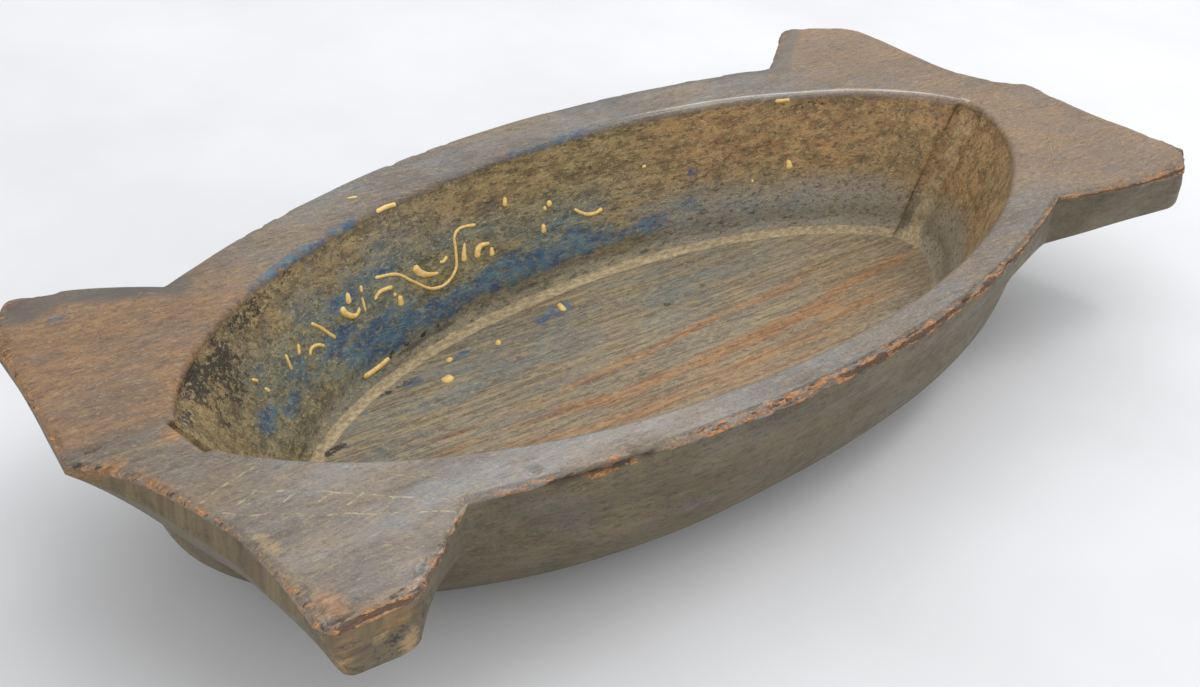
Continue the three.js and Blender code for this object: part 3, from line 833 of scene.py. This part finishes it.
# Scratches in the tops of the ears and the rim: the ends of each line in plan, in millimetres.
DEEP_SCRATCHES = (
    (-270.7, -39.5, -242.9, -62.3), (-242.9, -62.3, -232, -73), (-232, -73, -208.7, -97.2),
    (-277.8, -50.6, -247, -76), (-247, -76, -213, -101), (-279.6, -40.5, -269.3, -37.6),
    (-269.3, -37.6, -249.1, -33.9), (-270.7, -49.3, -262.7, -47.6), (-248.7, -65.8, -242, -64.5),
    (-242.5, -73.9, -233.1, -71.1), (-232.2, -82.4, -225.5, -78.8), (-258, -58, -251, -56),
)
FAINT_SCRATCHES = (
    (255, -48, 208, -83), (272.4, -52.5, 254.2, -66), (-222, 87.7, -216, 92), (-216, 92, -211, 88.3),
    (-250, -95, -238, -108), (-262, 40, -232, 33), (-268, 62, -240, 80), (262, 60, 236, 84),
    (-100, -118, -70, -124), (20, -121, 60, -118), (286, -70, 262, -92), (-225, -62, -205, -84),
)
SCRATCH_WIDTH = 0.0009


class WoodShader(Shader):
    """Holds the patterns that the finishes of the wood share; they are stretched along the grain."""

    def __init__(self):
        super().__init__("aged_wood", turn=6.0)
        self.grain = self.noise(0.0020, 5, 0.62, (20, 1, 1), distortion=0.3)
        self.fine_grain = self.noise(0.0008, 4, 0.65, (16, 1, 1), 0.3)
        self.tone = self.noise(0.026, 4, 0.6, (2.2, 1, 1), 1.1)
        self.cool = self.noise(0.016, 5, 0.68, (3.0, 1, 1), 2.3)
        self.mottle = self.noise(0.006, 5, 0.7, (2.2, 1, 1), 3.1)
        self.fleck = self.noise(0.0018, 4, 0.75, (2.6, 1, 1), 4.7)
        self.fleck_two = self.noise(0.0021, 4, 0.75, (3.0, 1, 1), 6.4)
        self.speck = self.noise(0.0009, 3, 0.75, (1.6, 1, 1), 5.2)
        self.patchy = self.noise(0.008, 6, 0.72, (2.6, 1, 1), 5.9)
        self.broad = self.noise(0.05, 3, 0.5, shift=7.7)

    def flecked(self, base, ochre, dark, ochre_share, dark_share):
        """Scatters light and dark flecks and specks over a colour."""
        made = self.mix(self.ramp(self.fleck, 0.52, 0.64, 0, ochre_share), base, ochre)
        made = self.mix(self.ramp(self.fleck_two, 0.48, 0.37, 0, dark_share), made, dark)
        made = self.mix(self.ramp(self.speck, 0.55, 0.68, 0, 0.45), made, ochre)
        return self.mix(self.ramp(self.speck, 0.45, 0.33, 0, 0.5), made, dark)


def top_wood(s):
    """Grey-brown patina on the rim and the ears."""
    top = s.mix(s.ramp(s.tone, 0.34, 0.66), (102, 92, 82), (134, 115, 92))
    top = s.over(top, s.ramp(s.cool, 0.46, 0.68), 0.5, (116, 116, 117))
    top = s.over(top, s.ramp(s.grain, 0.48, 0.66), 0.4, (150, 124, 90))
    warm = s.mix(s.ramp(s.mottle, 0.35, 0.7), (122, 90, 62), (160, 121, 80))
    top = s.over(top, "warm", s.ramp(s.tone, 0.25, 0.6, 0.45, 0.95), warm)
    top = s.over(top, "haze", s.ramp(s.cool, 0.36, 0.6, 0.15, 0.9), (120, 121, 121))
    return s.flecked(top, (176, 152, 114), (72, 62, 53), 0.42, 0.5)


def hull_wood(s):
    """Dark and smooth, with faint ochre streaks, saw marks on the left end and painted light under the near
    end.
    """
    hull = s.mix(s.ramp(s.tone, 0.3, 0.7), (88, 79, 61), (118, 107, 84))
    hull = s.over(hull, s.ramp(s.grain, 0.48, 0.7), 0.4, (138, 120, 88))
    hull = s.over(hull, s.ramp(s.cool, 0.48, 0.72), 0.5, (108, 109, 107))
    hull = s.flecked(hull, (136, 112, 76), (56, 48, 40), 0.35, 0.45)
    # painted light: the near end's undercut is lightened as if the floor below lit it
    hull = s.over(hull, "painted_undercut_light", s.ramp(s.mottle, 0.3, 0.6, 0.5, 0.85), (118, 110, 97))
    saw_marks = s.noise(0.0035, 3, 0.6, (1, 1, 14), 15.3)
    face = s.mix(s.ramp(saw_marks, 0.3, 0.7), (94, 82, 60), (128, 110, 78))
    return s.over(hull, "face_zone", s.ramp(s.tone, 0.3, 0.6, 0.5, 0.9), face)


def wall_wood(s):
    """Olive brown in the hollow, warmer toward the right end and the rim."""
    wall = s.mix(s.ramp(s.mottle, 0.38, 0.62), (98, 88, 58), (150, 134, 92))
    warm = s.mix(s.ramp(s.mottle, 0.36, 0.64), (128, 100, 66), (178, 141, 94))
    wall = s.over(wall, "warm", s.ramp(s.tone, 0.3, 0.6, 0.6, 1.0), warm)
    wall = s.over(wall, "ash", s.ramp(s.tone, 0.25, 0.5, 0.5, 1.0), (152, 142, 128))
    wall = s.over(wall, "haze", s.ramp(s.cool, 0.38, 0.56, 0.2, 1.0), (102, 124, 132))
    wall = s.over(wall, s.ramp(s.patchy, 0.42, 0.3), 0.6, (62, 54, 40))
    return s.flecked(wall, (184, 168, 120), (52, 48, 42), 0.6, 0.6)


def floor_wood(s):
    """Long streaks along the floor of the hollow."""
    floor = s.mix(s.ramp(s.grain, 0.38, 0.62), (118, 104, 84), (168, 150, 118))
    floor = s.over(floor, s.ramp(s.cool, 0.42, 0.62), 0.45, (124, 124, 118))
    floor = s.over(floor, "warm", s.ramp(s.tone, 0.35, 0.6), (160, 128, 90))
    floor = s.over(floor, "haze", s.ramp(s.cool, 0.38, 0.58, 0.1, 0.9), (118, 130, 130))
    floor = s.over(floor, s.ramp(s.fine_grain, 0.46, 0.34), 0.62, (72, 62, 50))
    return s.flecked(floor, (188, 166, 120), (74, 66, 56), 0.55, 0.5)


def bare_patches(s, colour):
    """Bare wood under the worn finish: orange, tan and pale."""
    bare = s.mix(s.ramp(s.grain, 0.36, 0.64), (138, 92, 54), (182, 130, 78))
    bare = s.mix(s.ramp(s.fleck_two, 0.49, 0.38, 0, 0.7), bare, (94, 66, 44))
    bare = s.mix(s.ramp(s.fleck, 0.52, 0.64, 0, 0.5), bare, (206, 164, 108))
    streaky = s.noise(0.0045, 5, 0.72, (9, 1, 1), 8.3)
    colour = s.over(colour, s.patch("rust", streaky, 0.2, 1.0, 1.7), 0.85, bare)
    tan = s.patch("tan", s.fleck_two, 0.3, 0.75, 1.6)
    colour = s.over(colour, tan, 0.8, (180, 150, 104))
    pale = s.mix(s.ramp(s.fleck, 0.4, 0.6), (158, 138, 106), (200, 180, 142))
    return s.over(colour, s.patch("pale", s.mottle, 0.25, 0.65, 0.7), 0.9, pale)


def paint_rests(s, colour):
    """Blue paint, worn through in streaks."""
    blue = s.mix(s.ramp(s.mottle, 0.38, 0.64), (26, 68, 114), (74, 114, 134))
    blue = s.mix(s.ramp(s.fleck, 0.5, 0.66, 0, 0.6), blue, (126, 140, 128))
    worn = s.patch("blue", s.patchy, 0.36, 0.74, 1.9)
    return s.over(colour, s.math("MULTIPLY", worn, s.ramp(s.fleck_two, 0.40, 0.54, 0.25, 1.0)), 0.85, blue)


def crusted(s, colour):
    """Black crust that breaks into crumbs at its edges."""
    crumbs = s.noise(0.0045, 8, 0.85, (1.3, 1, 1), 9.9)
    crust = s.patch("black", crumbs, 0.52, 0.6, 3.2)
    crust = s.math("MULTIPLY", crust, s.ramp(s.fleck, 0.53, 0.62, 1.0, 0.15))
    return s.over(colour, crust, 0.94, s.mix(s.ramp(s.speck, 0.4, 0.6), (32, 28, 24), (60, 53, 43)))


def edge_cracks(s):
    return s.patch("edge", s.noise(0.003, 4, 0.7, (4, 1, 1), 13.9), 0.62, 0.74, 1.5)


def worn_edges(s, colour, cracks):
    """The dark bevels, and raw splinters with dark cracks along the broken edges."""
    colour = s.over(colour, "bevel", s.ramp(s.mottle, 0.3, 0.6, 0.55, 0.9), (92, 87, 82))
    splinters = s.noise(0.0032, 5, 0.75, (3.5, 1, 1), 11.3)
    broken = s.patch("edge", splinters, 0.52, 0.66, 1.6)
    raw = s.mix(s.ramp(s.speck, 0.36, 0.6), (146, 88, 42), (208, 146, 84))
    return s.over(s.over(colour, broken, 0.85, raw), cracks, 0.8, (40, 32, 26))


def scratches(s):
    """The deep scratches and the faint ones, a little wavy and interrupted, on the top only."""
    wobble = s.math("SUBTRACT", s.noise(0.012, 2, 0.5, shift=12.1), 0.5)
    shift = s.vector("SCALE", (1, 1, 0), scale=s.math("MULTIPLY", wobble, 0.003))
    plan = s.vector("ADD", s.vector("MULTIPLY", s.place, (1, 1, 0)), shift)
    gaps = s.ramp(s.noise(0.003, 4, 0.75, shift=14.2), 0.4, 0.56, 0.1, 1.0)
    open_top = s.math("MULTIPLY", gaps, "top_zone")
    return [s.math("MULTIPLY", s.lines(plan, segments, SCRATCH_WIDTH), open_top)
            for segments in (DEEP_SCRATCHES, FAINT_SCRATCHES)]


def wood_relief(s, deep, faint, cracks):
    """Fine relief of grain, flecks and patches, with the scratches and cracks cut in."""
    relief = None
    for height, distance, strength in (
        (s.grain, 0.0007, 0.6), (s.fleck, 0.0006, 0.6), (s.speck, 0.0005, 0.5), (s.mottle, 0.0018, 0.55),
        (s.patchy, 0.002, 0.35), (s.math("SUBTRACT", 1.0, s.math("MAXIMUM", deep, faint)), 0.0006, 0.8),
        (s.math("SUBTRACT", 1.0, cracks), 0.0008, 0.7),
    ):
        relief = s.bump(height, distance, strength, relief)
    return relief


def wood_material():
    s = WoodShader()
    deep, faint = scratches(s)
    cracks = edge_cracks(s)
    colour = s.mix("wall_zone", hull_wood(s), wall_wood(s))
    colour = s.mix("floor_zone", colour, floor_wood(s))
    colour = s.mix("top_zone", colour, top_wood(s))
    colour = crusted(s, paint_rests(s, bare_patches(s, colour)))
    colour = worn_edges(s, colour, cracks)
    colour = s.over(colour, deep, 0.6, (202, 182, 146))
    colour = s.over(colour, faint, 0.4, (184, 160, 120))
    # painted shade in the cuts and the crevice, and a little dark tone in broad patches all over
    colour = s.over(colour, s.ramp("painted_cut_shade", 0.15, 0.8), 0.65, (44, 37, 30))
    colour = s.over(colour, s.ramp(s.broad, 0.35, 0.7), 0.15, (70, 62, 52))
    rough = s.math("SUBTRACT", s.ramp(s.mottle, 0.3, 0.7, 0.48, 0.68), s.math("MULTIPLY", "gloss", 0.28))
    coat = s.math("MULTIPLY", "gloss", s.ramp(s.cool, 0.3, 0.6, 0.5, 1.0))
    return s.finished({
        "Base Color": colour, "Roughness": rough, "Specular IOR Level": 0.4, "Coat Weight": coat,
        "Coat Roughness": 0.24, "Normal": wood_relief(s, deep, faint, cracks),
    })


def yellow_material():
    s = Shader("yellow_paint")
    tone = s.noise(0.002, 3, 0.6)
    wear = s.noise(0.0008, 3, 0.7, shift=2.0)
    colour = s.mix(s.ramp(tone, 0.35, 0.65), (226, 186, 102), (242, 210, 138))
    colour = s.mix(s.ramp(wear, 0.42, 0.3, 0, 0.5), colour, (180, 138, 70))
    return s.finished({"Base Color": colour, "Roughness": 0.5, "Normal": s.bump(wear, 0.0004, 0.5)})


def floor_material():
    s = Shader("pale_floor")
    tone = s.noise(0.35, 4, 0.6)
    fine = s.noise(0.004, 3, 0.6)
    colour = s.mix(s.ramp(tone, 0.3, 0.7), (214, 214, 215), (226, 226, 228))
    return s.finished({
        "Base Color": colour, "Roughness": 0.7, "Specular IOR Level": 0.3,
        "Normal": s.bump(fine, 0.0003, 0.2),
    })


# Raised yellow strokes in whole or half millimetres, each with its half-width at both ends. Those on the back
# wall are given by x and height, those on the rim and the floor by x and y.
WALL_STROKES = (
    ([(-101, 57.5), (-87, 54), (-77, 47), (-67, 40.5), (-57, 39.5), (-49, 44), (-47, 52), (-46, 58),
      (-41, 60.5), (-31, 59)], 0.8, 0.8), ([(-75, 53.5), (-72, 49.5), (-67, 47), (-60.5, 45.5)], 2.4, 0.7),
    ([(-58.5, 50), (-56, 49.5), (-53, 51)], 0.8, 1.1), ([(-43, 45), (-42, 49.5), (-40.5, 53.5)], 2.0, 0.6),
    ([(-34, 44), (-33, 47.5), (-30, 49), (-24.5, 48.5)], 2.1, 0.7), ([(-24.5, 42), (-24, 46.5)], 1.6, 1.2),
    ([(-10, 61.5), (-9, 66)], 1.4, 1.1), ([(14, 54), (16, 54.5)], 1.2, 1.2),
    ([(17, 55), (20, 56.5)], 1.5, 1.9), ([(11.5, 43), (12, 47.5)], 1.7, 1.3),
    ([(33.5, 49.5), (37, 47), (41.5, 45), (46.5, 44.5), (51.5, 45.5)], 0.8, 1.1),
    ([(-121, 53.5), (-120.5, 58.5)], 1.8, 1.3),
    ([(-126.5, 54.5), (-125, 51.5), (-121, 48.5), (-117.5, 48), (-115, 50)], 2.1, 0.8),
    ([(-111.5, 55), (-111, 58)], 0.9, 0.8), ([(-112, 53), (-112, 50.5), (-112, 46.5)], 0.7, 0.6),
    ([(-104.5, 49), (-102, 50.5), (-99, 51), (-91.5, 50)], 0.9, 1.1), ([(-92, 46), (-90, 46.5)], 0.8, 0.8),
    ([(-88.5, 40), (-88, 45)], 1.8, 1.3), ([(-148, 57), (-143.5, 53.5), (-139, 49), (-135, 45)], 0.8, 0.9),
    ([(-169.5, 54.5), (-169, 51), (-168.5, 47.5)], 0.8, 0.7), ([(-159.5, 54), (-161, 50)], 0.9, 0.8),
    ([(-154.5, 46.5), (-152.5, 48.5), (-148, 48), (-143.5, 45.5)], 0.8, 0.9),
    ([(-195, 57.5), (-191.5, 55)], 0.8, 0.8), ([(-189, 51), (-186.5, 48.5)], 0.8, 0.8),
    ([(-122.5, 22), (-116.5, 21.5), (-109.5, 21.5), (-103, 22)], 1.3, 1.3),
    ([(166.5, 81.5), (171, 81.5), (175, 81.5)], 1.1, 1.1), ([(168, 46.5), (168, 51.5)], 2.2, 1.4),
    ([(81, 60), (83.5, 60.5)], 0.9, 0.9), ([(145, 42.5), (146.5, 43)], 0.8, 0.8),
)
FLAT_STROKES = (
    ([(-91, 93), (-84.5, 94), (-78, 94.5)], 1.2, 1.0), ([(-95, 109), (-90, 107.5)], 0.6, 0.6),
    ([(-75, 58.5), (-71, 60)], 1.4, 1.2), ([(-87.5, 47), (-81, 48.5)], 2.6, 2.0),
    ([(-45.5, 55.5), (-42.5, 58)], 1.5, 1.3), ([(3, 58.5), (5, 65)], 2.2, 1.4),
)
BEAD_SIDES, BEAD_STEP, BEAD_STEPS_LEAST = 8, 0.7, 7
BEAD_TALLEST, BEAD_SINK = 1.1, 0.05


def seated(path, on_wall, surface):
    """Where a path seen from the middle of the hollow or from above meets the wood, with normals."""
    made = []
    for u, v in path:
        start, way = ((u, 0, v), (0, 1, 0)) if on_wall else ((u, v, 2 * HEIGHT), (0, 0, -1))
        spot, normal, _, _ = surface.ray_cast(Vector(start) / 1000.0, Vector(way))
        made.append((np.array(spot) * 1000.0, np.array(normal)))
    return made


def unit(vector):
    return vector / (np.linalg.norm(vector) + 1e-9)


def bead(line, width_from, width_to, on_wall, surface):
    """A rounded bead of thick paint that sits a little way into the wood, as rings of points."""
    curve = spline(line)
    length = np.hypot(*np.diff(curve, axis=0).T).sum()
    count = max(BEAD_STEPS_LEAST, int(length / BEAD_STEP))
    share = np.linspace(0, 1, count)
    spots = seated(along(curve, share), on_wall, surface)
    width = lerp(width_from, width_to, share)
    tip = np.clip(1.5 * length * np.minimum(share, 1 - share) / np.maximum(width, 0.4), 0, 1)
    swell = np.sqrt(np.clip(1 - (1 - tip) ** 2, 0.02, 1))
    half = width * swell * (1 + 0.12 * noise(np.array([spot for spot, _ in spots]), 2.5, 51))
    tall = np.minimum(0.55 * half + 0.3, BEAD_TALLEST) * swell
    rings = []
    for i, (spot, normal) in enumerate(spots):
        across = unit(np.cross(normal, unit(spots[min(i + 1, count - 1)][0] - spots[max(i - 1, 0)][0])))
        for angle in np.arange(BEAD_SIDES) * 2 * math.pi / BEAD_SIDES:
            up = math.sin(angle) * tall[i] - BEAD_SINK
            rings.append(spot + across * math.cos(angle) * half[i] + normal * up)
    return rings


def stroke_object(name, surface):
    verts, faces = [], []
    strokes = [(*stroke, True) for stroke in WALL_STROKES] + [(*stroke, False) for stroke in FLAT_STROKES]
    for stroke in strokes:
        base = len(verts)
        verts += bead(*stroke, surface)
        last = len(verts) - BEAD_SIDES
        for ring in range(base, last, BEAD_SIDES):
            for k in range(BEAD_SIDES):
                a, b = ring + k, ring + (k + 1) % BEAD_SIDES
                faces.append([a, b, b + BEAD_SIDES, a + BEAD_SIDES])
        faces.append(list(range(base, base + BEAD_SIDES))[::-1])
        faces.append(list(range(last, last + BEAD_SIDES)))
    gap = BOX_GAP / 2
    return new_object(name, np.clip(verts, low_corner + gap, high_corner - gap), faces)


surface = BVHTree.FromPolygons(
    [v.co.copy() for v in bowl.data.vertices], [tuple(f.vertices) for f in bowl.data.polygons])
strokes = stroke_object("raised_strokes", surface)
FLOOR_REACH = 6000.0
corners = [(sx * FLOOR_REACH, sy * FLOOR_REACH, 0) for sx, sy in ((-1, -1), (1, -1), (1, 1), (-1, 1))]
ground = new_object("floor", corners, [(0, 1, 2, 3)])

bowl.data.materials.append(wood_material())
strokes.data.materials.append(yellow_material())
ground.data.materials.append(floor_material())

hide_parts("carved_bowl")
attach(bowl, "root")
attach(strokes, "root")

# Lights: place, target, size, power and colour.
DAYLIGHT, WHITE = (0.93, 0.97, 1.0), (1, 1, 1)
LIGHTS = {
    "window": ((2.1, 1.6, 1.65), (0, 0, 0.05), (1.9, 1.0), 20, DAYLIGHT),
    "overhead": ((0.4, 0.05, 1.8), (0, 0, 0), (2.2, 2.2), 11, WHITE),
    "glint": ((1.1, -0.28, 1.28), (0.1, 0, 0.05), (0.4, 0.3), 4, WHITE),
    "fill": ((-1.5, -1.0, 0.75), (-0.25, -0.1, 0), (1.8, 1.0), 9, WHITE),
}
SKY_COLOUR, SKY_STRENGTH = (0.96, 0.98, 1.0, 1), 0.78


def area_light(name, location, target, size, power, colour):
    data = bpy.data.lights.new(name, "AREA")
    data.shape, data.size, data.size_y = "RECTANGLE", size[0], size[1]
    data.energy, data.color = power, colour
    lamp = bpy.data.objects.new(name, data)
    lamp.location = location
    lamp.rotation_mode = "QUATERNION"
    lamp.rotation_quaternion = (Vector(target) - Vector(location)).to_track_quat("-Z", "Y")
    bpy.context.scene.collection.objects.link(lamp)


for name, settings in LIGHTS.items():
    area_light(name, *settings)

scene = bpy.context.scene
scene.view_settings.view_transform = "Standard"
world = bpy.data.worlds.new("studio")
scene.world = world
world.use_nodes = True
background = world.node_tree.nodes["Background"]
background.inputs["Color"].default_value = SKY_COLOUR
background.inputs["Strength"].default_value = SKY_STRENGTH

# The camera stands where the photograph's did. Its focal length is given in the photograph's pixels.
PHOTO_WIDTH, FOCAL_LENGTH, SENSOR_WIDTH = 1200.0, 1772.0, 36.0
CAMERA_PLACE = (-0.55902, -0.45894, 0.45535)
CAMERA_RIGHT = (0.693361, -0.715719, 0.083645)
CAMERA_UP = (0.321396, 0.411054, 0.853076)
CAMERA_BACK = (-0.644945, -0.564607, 0.515038)

camera_data = bpy.data.cameras.new("camera")
camera_data.sensor_fit = "HORIZONTAL"
camera_data.sensor_width = SENSOR_WIDTH
camera_data.lens = FOCAL_LENGTH / PHOTO_WIDTH * SENSOR_WIDTH
camera = bpy.data.objects.new("camera", camera_data)
turned = Matrix((CAMERA_RIGHT, CAMERA_UP, CAMERA_BACK)).transposed().to_4x4()
camera.matrix_world = Matrix.Translation(CAMERA_PLACE) @ turned
scene.collection.objects.link(camera)
scene.camera = camera
